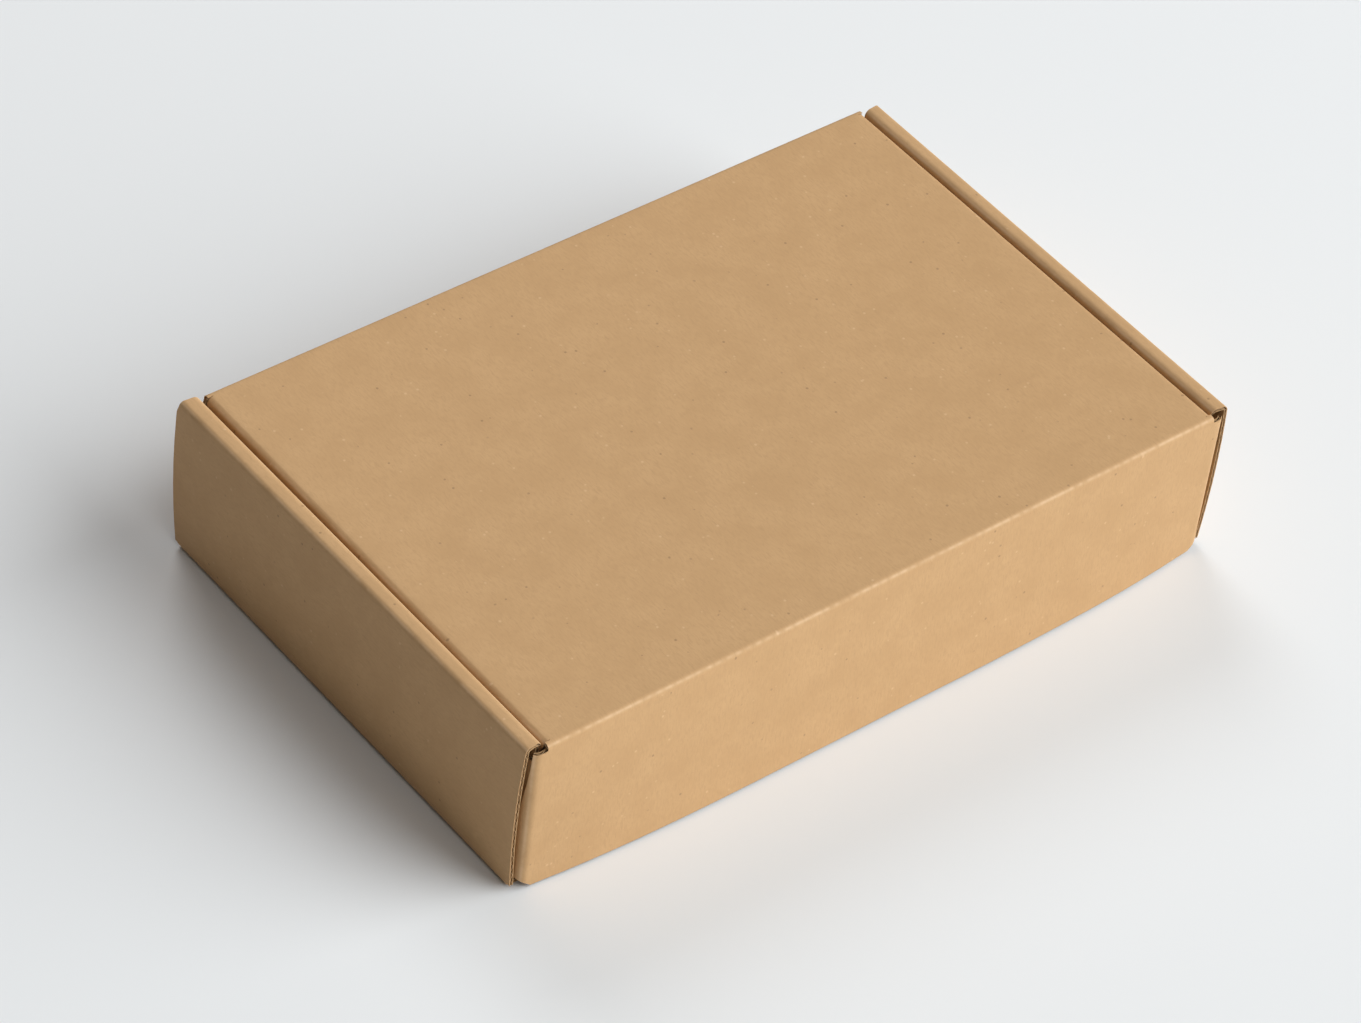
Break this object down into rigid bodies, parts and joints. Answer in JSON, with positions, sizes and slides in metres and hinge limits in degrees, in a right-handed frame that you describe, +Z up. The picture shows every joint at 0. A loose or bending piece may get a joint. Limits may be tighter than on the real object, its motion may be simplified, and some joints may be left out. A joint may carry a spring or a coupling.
{
  "type": "folding mailing box",
  "caption": "Closed rectangular mailing box folded from thin kraft corrugated board, with rolled end walls, a hinged lid and a front flap whose ears tuck in.",
  "frame": {"origin": "on the table, under the middle of the closed box", "axes": "+X along the length, from the left end wall to the right; +Z up; the front flap faces -Y"},
  "size_m": [0.2524, 0.1624, 0.054],
  "materials": {
    "kraft_board": "matte unprinted brown paper liner with fine fibre flecks"
  },
  "bodies": {
    "tray": {"tray": "kraft_board"},
    "lid": {"lid": "kraft_board"},
    "front_flap": {"front_flap": "kraft_board"}
  },
  "joints": [
    {"name": "lid_crease", "type": "hinge", "parent": "tray", "child": "lid", "pos_m": [0, 0.08125, 0.0533], "axis": [-1, 0, 0], "range_deg": [0, 180]},
    {"name": "front_flap_crease", "type": "hinge", "parent": "lid", "child": "front_flap", "pos_m": [0, -0.07739, 0.0533], "axis": [-1, 0, 0], "range_deg": [0, 90]}
  ]
}
